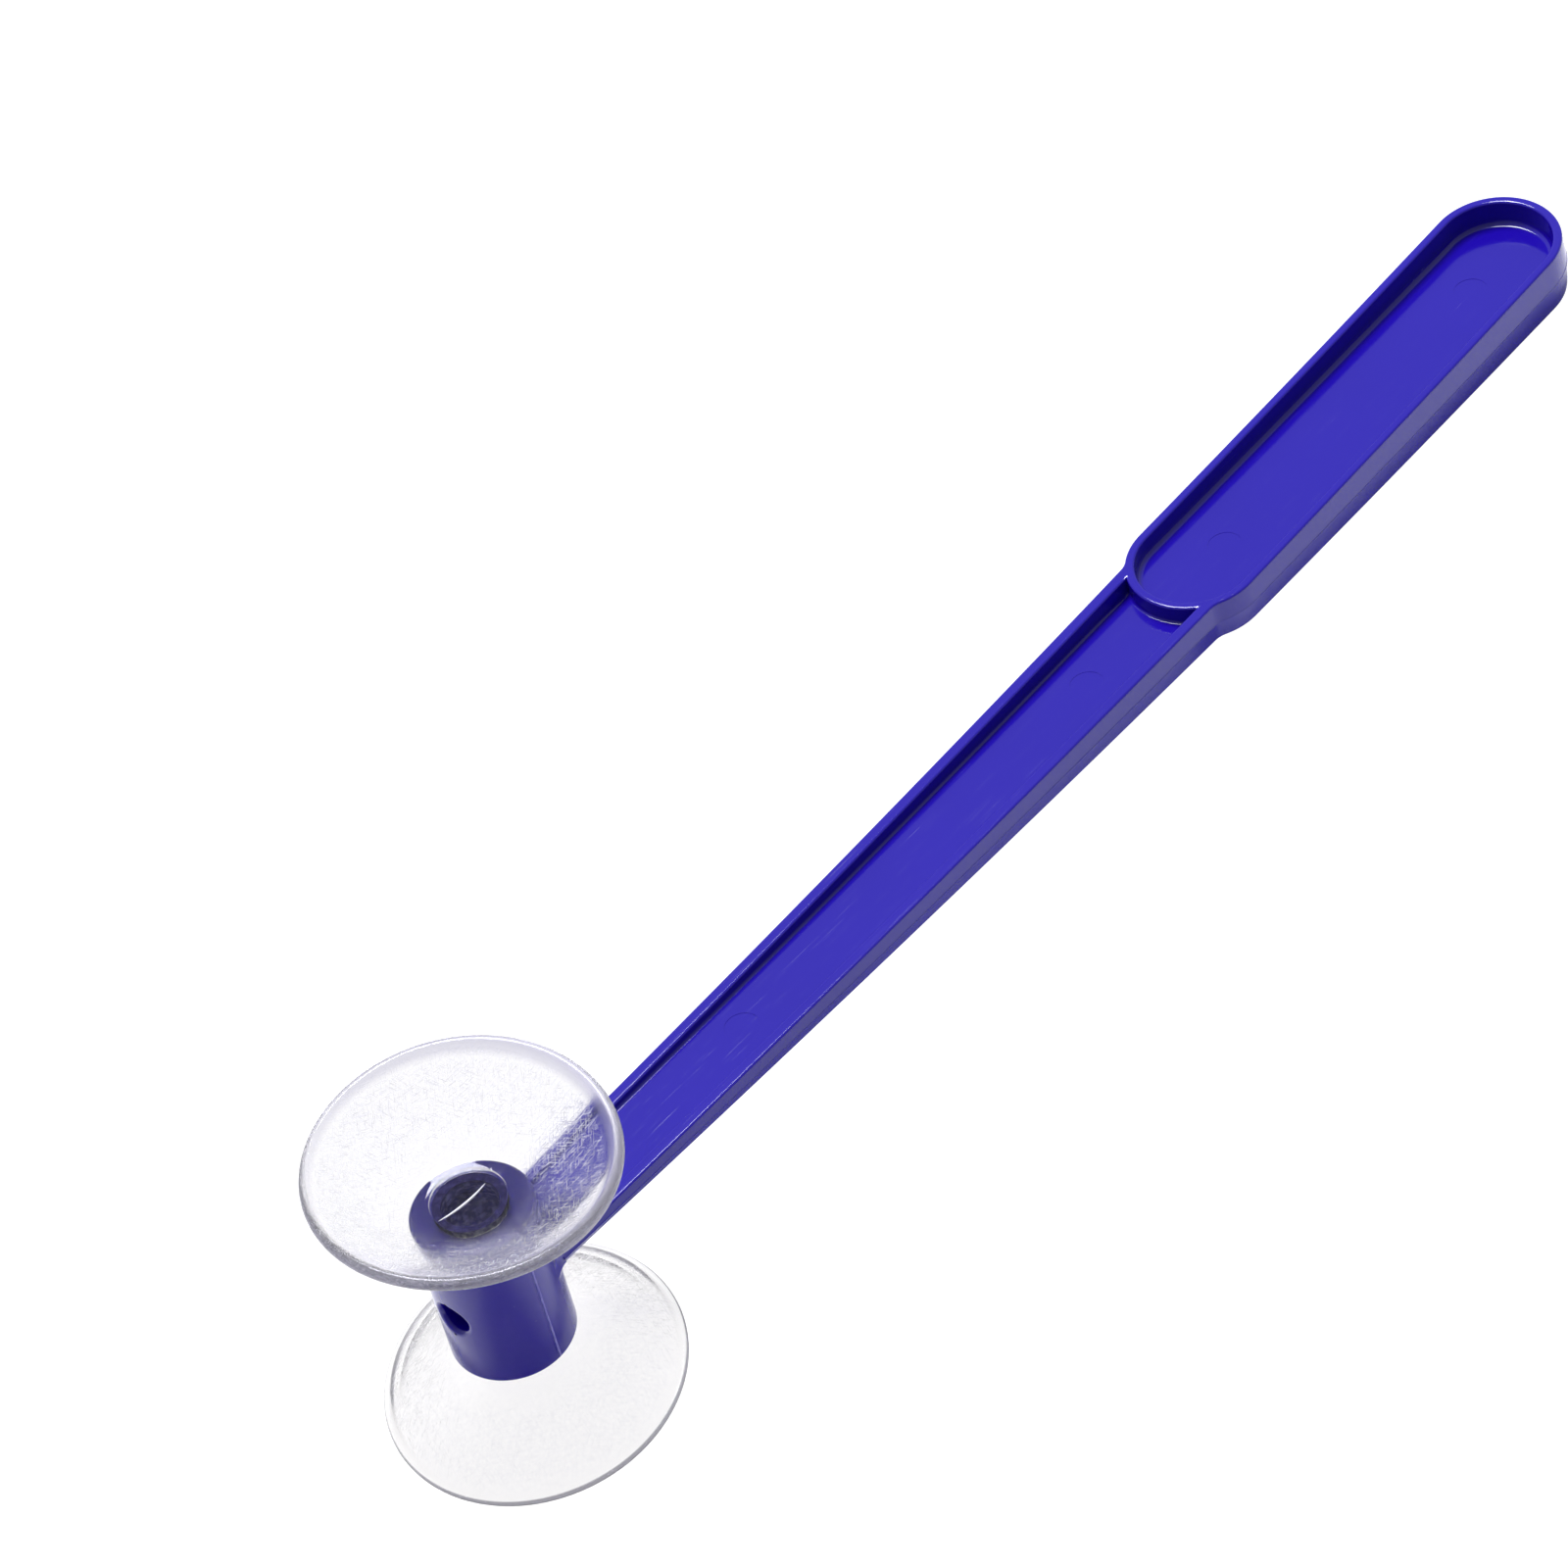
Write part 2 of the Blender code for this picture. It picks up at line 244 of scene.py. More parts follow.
# %% Blue moulded polypropylene
FLOW_WIDTH = 30 * MM
WAVER_WIDTH = 9 * MM
SCUFF_LENGTH = 14 * MM
# Real scuffs are a few hundredths of a millimetre wide. These are drawn coarser, so that they show at all.
SCUFF_WIDTH = 0.30 * MM

blue, tree = new_material("blue_moulded_polypropylene")
place = add_node(tree, "ShaderNodeAttribute", attribute_name=OWN_PLACE).outputs["Vector"]
flow = add_node(tree, "ShaderNodeTexNoise", {"Vector": place, "Scale": 1 / FLOW_WIDTH, "Detail": 2.0})
colour = add_node(tree, "ShaderNodeMix", {
    0: flow.outputs["Fac"], 6: linear("#140487"), 7: linear("#190690")}, data_type="RGBA")
along = add_node(tree, "ShaderNodeMapping", {
    "Vector": place, "Scale": (1 / SCUFF_LENGTH, 1 / SCUFF_WIDTH, 1 / SCUFF_WIDTH)})
streaks = add_node(tree, "ShaderNodeTexNoise", {"Vector": along, "Scale": 1.0, "Detail": 3.0})
scuffs = add_node(tree, "ShaderNodeMapRange", {
    "Value": streaks.outputs["Fac"], "From Min": 0.62, "From Max": 0.80})
roughness = add_node(tree, "ShaderNodeMapRange", {"Value": scuffs, "To Min": 0.12, "To Max": 0.32})
waver = add_node(tree, "ShaderNodeTexNoise", {"Vector": place, "Scale": 1 / WAVER_WIDTH, "Detail": 1.0})
sunk = add_node(tree, "ShaderNodeBump", {
    "Height": waver.outputs["Fac"], "Strength": 1.0, "Distance": 0.03 * MM})
scratched = add_node(tree, "ShaderNodeBump", {
    "Height": scuffs, "Strength": 0.4, "Distance": 0.01 * MM, "Normal": sunk}, invert=True)
surface = add_node(tree, "ShaderNodeBsdfPrincipled", {
    "Base Color": colour.outputs[2], "Roughness": roughness, "IOR": 1.49, "Normal": scratched})
add_node(tree, "ShaderNodeOutputMaterial", {"Surface": surface})
print("material", blue.name)

# %% [markdown]
# ## The handle
#
# The handle is a shallow tray from both sides: a thin web in the middle, with a raised rim round it. It
# widens from stick to grip at a half-round shoulder, and it thickens steadily towards the tip. It could be
# an extrusion with bevels, but a bevel can't follow the wedge and the draft of a moulding. So every form
# here is a loft: one outline drawn at growing insets, one ring of points for each level, and heights that
# depend on how far along the handle a point is. The same outlines give the solid and the two recesses cut
# from it.

# %% Sizes of the moulding
BARREL_DIAMETER = 20.5 * MM
BARREL_LENGTH = 29.0 * MM
BARREL_EDGE = 0.6 * MM
BORE_DIAMETER = 11.6 * MM
SIDE_HOLE_DIAMETER = 5.6 * MM
SIDE_HOLE_DROP = 1.0 * MM
HANDLE_REACH = 281.0 * MM
GRIP_LENGTH = 112.5 * MM
GRIP_WIDTH = 24.0 * MM
STICK_WIDTH_AT_BARREL = 15.2 * MM
STICK_WIDTH_AT_GRIP = 19.6 * MM
SHOULDER_FILLET = 4.0 * MM
THICKNESS_AT_BARREL = 2.8 * MM
THICKNESS_AT_TIP = 11.1 * MM
WEB = 1.0 * MM
GRIP_RIM = 1.7 * MM
STICK_RIM = 2.2 * MM
DRAFT = 0.35 * MM
RIM_ROUND = 0.45 * MM
RECESS_FOOT = 1.1 * MM
CHANNEL_START = 2.5 * MM
# A trace of plastic squeezed out where the two halves of the mould met.
PARTING_BEAD = 0.10 * MM

BARREL_RADIUS = BARREL_DIAMETER / 2
BARREL_HALF = BARREL_LENGTH / 2
GRIP_RADIUS = GRIP_WIDTH / 2
TIP_CENTRE = HANDLE_REACH - GRIP_RADIUS
SHOULDER_CENTRE = HANDLE_REACH - GRIP_LENGTH + GRIP_RADIUS
STICK_SLOPE = (STICK_WIDTH_AT_GRIP - STICK_WIDTH_AT_BARREL) / 2 / (SHOULDER_CENTRE - BARREL_RADIUS)
STICK_ANGLE = math.atan(STICK_SLOPE)
print("the handle reaches %.0f mm from the barrel's centre" % (HANDLE_REACH / MM))

# %% Outlines in plan
ARC_STEPS = 24
FILLET_STEPS = 10
TOLERANCE = 0.0001 * MM


def arc(centre_x, centre_y, radius, start, end, steps=ARC_STEPS):
    """Points along an arc in plan, both ends included."""
    angles = [start + (end - start) * i / steps for i in range(steps + 1)]
    return [(centre_x + radius * math.cos(a), centre_y + radius * math.sin(a)) for a in angles]


def mirrored(half):
    """Closes a half outline, given on +Y from the tip inwards, with its mirror image on -Y."""
    return half + [(x, -y) for x, y in reversed(half) if y > TOLERANCE]


def stick_side(x, inset):
    """Y of the stick's side wall, moved inwards by the inset."""
    half = STICK_WIDTH_AT_BARREL / 2 + STICK_SLOPE * (x - BARREL_RADIUS)
    return half - inset / math.cos(STICK_ANGLE)


def reach_back(lift, reach):
    """How far from the shoulder's centre a line with the stick's slope meets a circle about that centre."""
    a = 1 + STICK_SLOPE ** 2
    b = 2 * STICK_SLOPE * lift
    return (-b - math.sqrt(b * b - 4 * a * (lift ** 2 - reach ** 2))) / (2 * a)


def handle_outline(inset):
    """The tip, the shoulder and its fillet, and the stick, down to inside the barrel's wall."""
    fillet = SHOULDER_FILLET + inset
    lift = stick_side(SHOULDER_CENTRE, inset - fillet)
    back = reach_back(lift, GRIP_RADIUS - inset + fillet)
    fillet_x = SHOULDER_CENTRE + back
    fillet_y = lift + STICK_SLOPE * back
    touch = math.atan2(fillet_y, back)
    half = arc(TIP_CENTRE, 0, GRIP_RADIUS - inset, 0, math.pi / 2)
    half += arc(SHOULDER_CENTRE, 0, GRIP_RADIUS - inset, math.pi / 2, touch, FILLET_STEPS)
    half += arc(fillet_x, fillet_y, fillet, touch - math.pi, STICK_ANGLE - math.pi / 2, FILLET_STEPS)[1:]
    root_x = (BARREL_RADIUS + BORE_DIAMETER / 2) / 2
    half += [(root_x, stick_side(BARREL_RADIUS, inset))]
    return mirrored(half)


def tray_outline(inset):
    """The grip's recess: the grip's own plan, one rim further in."""
    radius = GRIP_RADIUS - GRIP_RIM - inset
    half = arc(TIP_CENTRE, 0, radius, 0, math.pi / 2)
    half += arc(SHOULDER_CENTRE, 0, radius, math.pi / 2, math.pi)
    return mirrored(half)


def channel_outline(inset):
    """The stick's recess, between its rims, from the barrel to the grip's rounded wall."""
    wall = GRIP_RADIUS + inset
    at_shoulder = stick_side(SHOULDER_CENTRE, STICK_RIM + inset)
    back = reach_back(at_shoulder, wall)
    corner = math.atan2(at_shoulder + STICK_SLOPE * back, back)
    start = BARREL_RADIUS + CHANNEL_START + inset
    half = arc(SHOULDER_CENTRE, 0, wall, math.pi, corner, FILLET_STEPS)
    half += [(start, stick_side(start, STICK_RIM + inset))]
    return mirrored(half)


print("the handle's outline has", len(handle_outline(0)), "points")

# %% Levels in height
EDGE_STEPS = 5
QUARTER = [math.pi / 2 * i / EDGE_STEPS for i in range(EDGE_STEPS + 1)]


def along_handle(x):
    """How far along the handle a point is, from 0 at the barrel to 1 at the tip."""
    return (x - BARREL_RADIUS) / (HANDLE_REACH - BARREL_RADIUS)


def handle_top(x):
    """Z of the handle's upper side: half the wedge's thickness."""
    return (THICKNESS_AT_BARREL + (THICKNESS_AT_TIP - THICKNESS_AT_BARREL) * along_handle(x)) / 2


def below_top(drop):
    return lambda x: handle_top(x) - drop


def at_height(height):
    return lambda x: height


def slab_levels():
    """From the parting line up: its bead, the drafted wall, then the rim's rounded outer edge."""
    bead = PARTING_BEAD
    levels = [(-DRAFT - bead, at_height(0)),
              (-DRAFT - bead, at_height(bead / 2)),
              (-DRAFT, at_height(1.5 * bead))]
    for a in QUARTER:
        levels.append((RIM_ROUND * (1 - math.cos(a)), below_top(RIM_ROUND * (1 - math.sin(a)))))
    return levels


def recess_levels(foot):
    """From the web up: the foot's fillet, the wall, the rim's rounded inner edge, and clear of the top."""
    levels = [(foot * (1 - math.sin(a)), at_height(WEB / 2 + foot * (1 - math.cos(a)))) for a in QUARTER]
    for a in QUARTER:
        levels.append((-RIM_ROUND * (1 - math.cos(a)), below_top(RIM_ROUND * (1 - math.sin(a)))))
    levels.append((-RIM_ROUND, below_top(-RIM_ROUND)))
    return levels


def skin_rings(form, rings, close_first=True):
    """Joins each ring of points to the next with faces, and closes the ends."""
    for low, high in zip(rings, rings[1:]):
        for i in range(len(low)):
            j = (i + 1) % len(low)
            form.faces.new((low[i], low[j], high[j], high[i]))
    form.faces.new(rings[-1])
    if close_first:
        form.faces.new(list(reversed(rings[0])))


def loft(outline, levels, close_first=True):
    """Skins rings of one outline. Each level is an inset, and a height as a function of x."""
    form = bmesh.new()
    rings = []
    for inset, height in levels:
        rings.append([form.verts.new((x, y, height(x))) for x, y in outline(inset)])
    skin_rings(form, rings, close_first)
    return form


print("the outer wall has", len(slab_levels()), "levels on each side of the parting line")

# %% [markdown]
# ## Joining and cutting
#
# The barrel is joined to the handle, and then the recesses, the bore and the side hole are cut, in the
# order a machinist would work. Modifiers do this, and are applied at once, because the finished mesh is
# reworked later. The side hole has a rounded mouth, so its cutter flares where it leaves the barrel's wall.

# %% Booleans, applied at once
MERGE_DISTANCE = 0.001 * MM


def add_object(name, form):
    """A bmesh as an object, with its faces pointing out."""
    bmesh.ops.recalc_face_normals(form, faces=form.faces)
    mesh = bpy.data.meshes.new(name)
    form.to_mesh(mesh)
    form.free()
    item = bpy.data.objects.new(name, mesh)
    bpy.context.scene.collection.objects.link(item)
    return item


def apply_modifiers(item):
    """Replaces an object's mesh with what its modifiers make of it."""
    shaped = bpy.data.meshes.new_from_object(item.evaluated_get(bpy.context.evaluated_depsgraph_get()))
    item.modifiers.clear()
    item.data = shaped


def mirror_across_parting_line(item):
    """Adds the lower half of a form that was made from the parting line up."""
    modifier = item.modifiers.new("both_sides", "MIRROR")
    modifier.use_axis = (False, False, True)
    modifier.merge_threshold = MERGE_DISTANCE
    apply_modifiers(item)


def combine(item, operation, tool):
    """Joins or cuts with a tool, which is used up."""
    modifier = item.modifiers.new(operation.lower(), "BOOLEAN")
    modifier.operation = operation
    modifier.solver = "EXACT"
    modifier.object = tool
    apply_modifiers(item)
    bpy.data.objects.remove(tool, do_unlink=True)


def turned_form(profile, steps):
    """A solid turned about Z. The profile is (radius, height) points, the first and last on the axis."""
    form = bmesh.new()
    low = form.verts.new((0, 0, profile[0][1]))
    high = form.verts.new((0, 0, profile[-1][1]))
    turns = [2 * math.pi * i / steps for i in range(steps)]
    rings = [[form.verts.new((r * math.cos(a), r * math.sin(a), z)) for a in turns] for r, z in profile[1:-1]]
    for i in range(steps):
        j = (i + 1) % steps
        form.faces.new((low, rings[0][j], rings[0][i]))
        form.faces.new((high, rings[-1][i], rings[-1][j]))
        for inner, outer in zip(rings, rings[1:]):
            form.faces.new((inner[i], inner[j], outer[j], outer[i]))
    return form


handle = add_object("mallet_moulding", loft(handle_outline, slab_levels(), close_first=False))
mirror_across_parting_line(handle)
print("the handle slab has", len(handle.data.polygons), "faces")

# %% Barrel and root
ROUND_STEPS = 96
ROOT_FILLET = 1.1 * MM
# The collar's two ends are hidden: one in the barrel's wall, and the other in the handle.
ROOT_DEPTH = 0.6 * ROOT_FILLET
ROOT_SINK = 0.2 * ROOT_FILLET
ROOT_END = 1.05 * ROOT_FILLET


def barrel_profile():
    """A cylinder with rounded edges, from the lower end to the upper."""
    half = [(0, BARREL_HALF)]
    for a in reversed(QUARTER):
        half.append((BARREL_RADIUS - BARREL_EDGE * (1 - math.cos(a)),
                     BARREL_HALF - BARREL_EDGE * (1 - math.sin(a))))
    return [(r, -z) for r, z in half] + list(reversed(half))


def root_section(swell):
    """The handle's rounded section where it meets the barrel, grown by the swell, as (across, up) points."""
    corner = RIM_ROUND + max(swell, 0)
    side = STICK_WIDTH_AT_BARREL / 2 + DRAFT / 2 + min(swell, 0) - RIM_ROUND
    top = THICKNESS_AT_BARREL / 2 + min(swell, 0) - RIM_ROUND
    points = []
    for i, (sign_y, sign_z) in enumerate(((1, 1), (-1, 1), (-1, -1), (1, -1))):
        start = i * math.pi / 2
        points += arc(sign_y * side, sign_z * top, corner, start, (i + 1) * math.pi / 2, EDGE_STEPS)
    return points


def triangulate_ends(form):
    """Splits a form's end faces into triangles, because their points lie on a round wall."""
    bmesh.ops.triangulate(form, faces=[face for face in form.faces if len(face.verts) > 4])


def root_form():
    """A collar that blends the handle into the barrel with a small hollow fillet."""
    form = bmesh.new()
    levels = [(ROOT_FILLET, -ROOT_DEPTH)]
    levels += [(ROOT_FILLET * (1 - math.sin(a)), ROOT_FILLET * (1 - math.cos(a))) for a in QUARTER]
    levels += [(-ROOT_SINK, ROOT_END)]
    rings = []
    for swell, off in levels:
        ring = []
        for y, z in root_section(swell):
            ring.append(form.verts.new((math.sqrt((BARREL_RADIUS + off) ** 2 - y * y), y, z)))
        rings.append(ring)
    skin_rings(form, rings)
    triangulate_ends(form)
    return form


combine(handle, "UNION", add_object("barrel", turned_form(barrel_profile(), ROUND_STEPS)))
combine(handle, "UNION", add_object("root", root_form()))
print("with its barrel, the moulding has", len(handle.data.polygons), "faces")

# %% Recesses and bore
HOLE_STEPS = 48
# The cutter stands out at both ends of the barrel.
BORE_CUTTER_LENGTH = 1.2 * BARREL_LENGTH


def rod_form(radius, length, steps):
    """A plain cylinder about Z, with the origin at its middle."""
    profile = [(0, -length / 2), (radius, -length / 2), (radius, length / 2), (0, length / 2)]
    return turned_form(profile, steps)


for outline, foot in ((tray_outline, RECESS_FOOT), (channel_outline, RECESS_FOOT / 2)):
    recess = add_object("recess", loft(outline, recess_levels(foot)))
    mirror_across_parting_line(recess)
    combine(handle, "DIFFERENCE", recess)

bore = add_object("bore", rod_form(BORE_DIAMETER / 2, BORE_CUTTER_LENGTH, ROUND_STEPS))
combine(handle, "DIFFERENCE", bore)
print("with its recesses and bore, the moulding has", len(handle.data.polygons), "faces")

# %% Side hole
HOLE_ROUND = 1.0 * MM
# The cutter starts inside the bore, this far from the barrel's axis.
HOLE_CUTTER_START = 1.2 * SIDE_HOLE_DIAMETER / 2


def side_hole_form():
    """A round cutter from the bore out through the barrel's wall, which flares to round the hole's mouth."""
    form = bmesh.new()
    radius = SIDE_HOLE_DIAMETER / 2
    levels = [(0, HOLE_CUTTER_START - BARREL_RADIUS)]
    levels += [(HOLE_ROUND * (1 - math.cos(a)), -HOLE_ROUND * (1 - math.sin(a))) for a in QUARTER]
    levels += [(HOLE_ROUND, HOLE_ROUND)]
    turns = [2 * math.pi * i / HOLE_STEPS for i in range(HOLE_STEPS)]
    rings = []
    for swell, off in levels:
        ring = []
        for a in turns:
            y = (radius + swell) * math.cos(a)
            z = (radius + swell) * math.sin(a) - SIDE_HOLE_DROP
            ring.append(form.verts.new((-math.sqrt((BARREL_RADIUS + off) ** 2 - y * y), y, z)))
        rings.append(ring)
    skin_rings(form, rings)
    triangulate_ends(form)
    return form


combine(handle, "DIFFERENCE", add_object("side_hole", side_hole_form()))
print("with its side hole, the moulding has", len(handle.data.polygons), "faces")

# %% [markdown]
# ## Marks of moulding
#
# A moulded part carries signs of its mould. The pins that push it out leave shallow rings in the web. The
# mould halves leave a fine raised line down each side of the barrel, painted pale in patches as a highlight
# along its ridge. Both are real shapes: the rings are cut a twentieth of a millimetre deep, and the lines
# stand a sixth of a millimetre proud.

# %% Ejector pin rings
PIN_DIAMETER = 6.0 * MM
PIN_DEPTH = 0.05 * MM
PIN_INSET = 8.0 * MM
PIN_PLACES = (60 * MM, 150 * MM, SHOULDER_CENTRE + PIN_INSET, TIP_CENTRE - PIN_INSET)

for place_x in PIN_PLACES:
    pin = add_object("pin", rod_form(PIN_DIAMETER / 2, 2 * PIN_DEPTH, HOLE_STEPS))
    pin.data.transform(Matrix.Translation((place_x, 0, WEB / 2)))
    combine(handle, "DIFFERENCE", pin)
print(len(PIN_PLACES), "pin rings are cut")

# %% Lines down the barrel
LINE_WIDTH = 0.40 * MM
LINE_HEIGHT = 0.16 * MM
LINE_ROUND = 0.3 * LINE_WIDTH
PALE_PATCH = 1.2 * MM

# The mould lines are painted pale in patches, as a highlight along their ridge.
flash_painted_highlight, tree = new_material("polypropylene_flash_painted_highlight")
place = add_node(tree, "ShaderNodeAttribute", attribute_name=OWN_PLACE).outputs["Vector"]
patches = add_node(tree, "ShaderNodeTexNoise", {"Vector": place, "Scale": 1 / PALE_PATCH, "Detail": 2.0})
colour = add_node(tree, "ShaderNodeMix", {
    0: patches.outputs["Fac"], 6: linear("#2A1C9C"), 7: linear("#8F8AD2")}, data_type="RGBA")
surface = add_node(tree, "ShaderNodeBsdfPrincipled", {
    "Base Color": colour.outputs[2], "Roughness": 0.45, "IOR": 1.49})
add_node(tree, "ShaderNodeOutputMaterial", {"Surface": surface})

for side in (1, -1):
    form = bmesh.new()
    bmesh.ops.create_cube(form, size=1.0)
    form.transform(Matrix.Diagonal((LINE_WIDTH, 2 * LINE_HEIGHT, BARREL_LENGTH - 2 * BARREL_EDGE, 1)))
    bmesh.ops.bevel(form, geom=form.edges, offset=LINE_ROUND, segments=2, profile=0.5, affect="EDGES")
    line = add_object("line", form)
    line.data.transform(Matrix.Translation((0, side * BARREL_RADIUS, 0)))
    combine(handle, "UNION", line)
print("the barrel has its two mould lines")

# %% [markdown]
# ## Warp and shading
#
# A long thin moulding seldom cools straight. This one dips in the middle by a couple of millimetres. The
# mesh is first sliced across, because long faces can't bend, and then each point is lowered along a
# parabola that is zero at the barrel and at the tip. Weighted normals keep the flat faces flat to the eye
# and leave the rounding to the narrow fillets.

# %% Bend the handle
WARP = 2.3 * MM
SLICE_WIDTH = 5 * MM


def slice_across(mesh, start, end, width):
    """Cuts the mesh by planes across X, so that its long faces can bend."""
    form = bmesh.new()
    form.from_mesh(mesh)
    cuts = int((end - start) / width)
    for i in range(1, cuts):
        everything = form.verts[:] + form.edges[:] + form.faces[:]
        bmesh.ops.bisect_plane(form, geom=everything, dist=TOLERANCE, plane_no=(1, 0, 0),
                               plane_co=(start + (end - start) * i / cuts, 0, 0))
    form.to_mesh(mesh)
    form.free()


def warp(mesh):
    """Lowers the middle of the handle along a parabola."""
    for vertex in mesh.vertices:
        share = along_handle(vertex.co.x)
        if 0 < share < 1:
            vertex.co.z -= WARP * 4 * share * (1 - share)


def settle(item, frame_matrix):
    """Puts a piece in place by moving its points, and keeps where they were for its material's patterns."""
    own = item.data.attributes.new(OWN_PLACE, "FLOAT_VECTOR", "POINT")
    for vertex in item.data.vertices:
        own.data[vertex.index].vector = vertex.co
    item.data.transform(frame_matrix)


def shade(item, sharp_degrees):
    """Smooth shading that leaves large faces flat."""
    item.data.shade_smooth()
    item.data.set_sharp_from_angle(angle=math.radians(sharp_degrees))
    weighted = item.modifiers.new("weighted_normals", "WEIGHTED_NORMAL")
    weighted.keep_sharp = True
    weighted.weight = 80
    apply_modifiers(item)


slice_across(handle.data, BARREL_RADIUS + 2 * ROOT_FILLET, HANDLE_REACH, SLICE_WIDTH)
warp(handle.data)
handle.data.materials.clear()
for material in (blue, flash_painted_highlight):
    handle.data.materials.append(material)
for face in handle.data.polygons:
    proud = face.center.xy.length > BARREL_RADIUS + LINE_HEIGHT / 4
    face.material_index = int(proud and abs(face.center.x) < LINE_WIDTH)
settle(handle, mallet_frame)
shade(handle, sharp_degrees=50)
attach(handle, "mallet")
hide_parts("mallet_body")
print("the finished moulding has", len(handle.data.polygons), "faces")

# %% [markdown]
# ## The cups
#
# Each cup is one soft moulding: a bulb that fills the barrel's bore, a short neck, and a thin bowl with a
# thick rounded rim. All of it is round, so it is turned from one profile, whose arcs leave the neck at a
# gentle slope and climb to the rim. Nothing soft stays perfectly round, so the last step leans the upper
# bowl by a millimetre or two and waves its rim. The lower cup is pressed flat by the mallet's weight, and
# stays true.

# %% Sizes of a cup
CUP_DIAMETER = 50.0 * MM
CUP_HEIGHT = 13.0 * MM
CUP_RIM = 2.1 * MM
PAD_DIAMETER = 12.0 * MM
PAD_TOP = 3.3 * MM
PAD_DIMPLE = 0.2 * MM
SKIRT_START = 1.4 * MM
NECK_DIAMETER = 9.3 * MM

# Heights are measured from the pivot about which the cup rocks, at the middle of the bulb.
PIVOT_TO_CENTRE = (upper_pivot - lower_pivot).length / 2
END_FACE = BARREL_HALF - PIVOT_TO_CENTRE
BULB_RADIUS = END_FACE
CUP_RADIUS = CUP_DIAMETER / 2
print("the barrel's end face is %.1f mm above a cup's pivot" % (END_FACE / MM))

# %% [markdown]
# ## Clear soft PVC
#
# Suction cups are moulded from PVC softened with oil. It is clear but not quite like glass: it greys what
# is behind it, and rubbing leaves a light frost and short scratches that run every way. The stem stays
# clean inside the barrel, the pad in the middle of the bowl is sheltered, and the rim is polished by
# handling. Where the bowl's wall or its rim is seen edge-on, light crosses far more of the plastic, and it
# looks grey lavender. On top of that, the rim carries a painted band for the light that it bends and
# reflects.
# One transmitting shader does all of this. Its share of plain scattering grows with the frost, in the
# scratches, towards the edge-on parts and in the rim's painted band. Its haze counts at both faces of the
# wall, so each number is about half of what the eye gets.

# %% Scratches that run every way
# Real scratches are finer. These are drawn a sixth of a millimetre wide, so that they show at all.
SCRATCH_WIDTH = 0.17 * MM
SCRATCH_LENGTH = 2.6 * MM
SCRATCH_HEADINGS = (0.3, 1.2, 2.4)


def scratch_pattern(tree, place):
    """Short scratches under several headings: the strongest of a few stretched noises."""
    scratches = 0.0
    for heading in SCRATCH_HEADINGS:
        turned = add_node(tree, "ShaderNodeVectorRotate", {"Vector": place, "Angle": heading},
                          rotation_type="Z_AXIS")
        stretched = add_node(tree, "ShaderNodeMapping", {
            "Vector": turned, "Scale": (1 / SCRATCH_LENGTH, 1 / SCRATCH_WIDTH, 1 / SCRATCH_LENGTH)})
        streaks = add_node(tree, "ShaderNodeTexNoise", {"Vector": stretched, "Scale": 1.0, "Detail": 1.0})
        fine = add_node(tree, "ShaderNodeMapRange", {
            "Value": streaks.outputs["Fac"], "From Min": 0.63, "From Max": 0.70})
        scratches = add_node(tree, "ShaderNodeMath", {0: scratches, 1: fine}, operation="MAXIMUM")
    return scratches


print("scratches run under", len(SCRATCH_HEADINGS), "headings")

# %% Where rubbing reaches
WEAR_START = 0.7 * PAD_DIAMETER
WEAR_FULL = 1.2 * PAD_DIAMETER
SHELTERED = 0.06
RIM_FADE_START = CUP_RADIUS - 1.4 * CUP_RIM
RIM_FADE_END = CUP_RADIUS - 0.8 * CUP_RIM


def reach_of_rubbing(tree, place):
    """Distance from the axis, a mask that fades at the rim, and how exposed each point is to rubbing."""
    height = add_node(tree, "ShaderNodeSeparateXYZ", {"Vector": place}).outputs["Z"]
    flattened = add_node(tree, "ShaderNodeVectorMath", {0: place, 1: (1.0, 1.0, 0.0)}, operation="MULTIPLY")
    radius = add_node(tree, "ShaderNodeVectorMath", {0: flattened}, operation="LENGTH").outputs["Value"]
    above_neck = add_node(tree, "ShaderNodeMapRange", {
        "Value": height, "From Min": END_FACE, "From Max": END_FACE + SKIRT_START})
    beyond_pad = add_node(tree, "ShaderNodeMapRange", {
        "Value": radius, "From Min": WEAR_START, "From Max": WEAR_FULL, "To Min": SHELTERED})
    within_rim = add_node(tree, "ShaderNodeMapRange", {
        "Value": radius, "From Min": RIM_FADE_START, "From Max": RIM_FADE_END, "To Min": 1.0, "To Max": 0.0})
    in_bowl = add_node(tree, "ShaderNodeMath", {0: above_neck, 1: beyond_pad}, operation="MULTIPLY")
    exposed = add_node(tree, "ShaderNodeMath", {0: in_bowl, 1: within_rim}, operation="MULTIPLY")
    return radius, within_rim, exposed


print("rubbing shows from %.1f mm off the cup's axis" % (WEAR_START / MM))

# %% [markdown]
# ## Two finishes of the same plastic
#
# The two cups have worn differently. The upper one is frosted and scratched, and its whole rim is painted
# grey lavender, as a reflection of the light that the thick rim bends. The lower one is nearly new: it is
# almost as clear as glass, and only a thin dark line of painted shade marks its rim. So one function makes
# both materials, and its arguments are what differs.

# %% Clear soft PVC
FROST_WIDTH = 0.6 * MM
EDGE_HAZE = 0.30
FULLY_WORN = 0.15


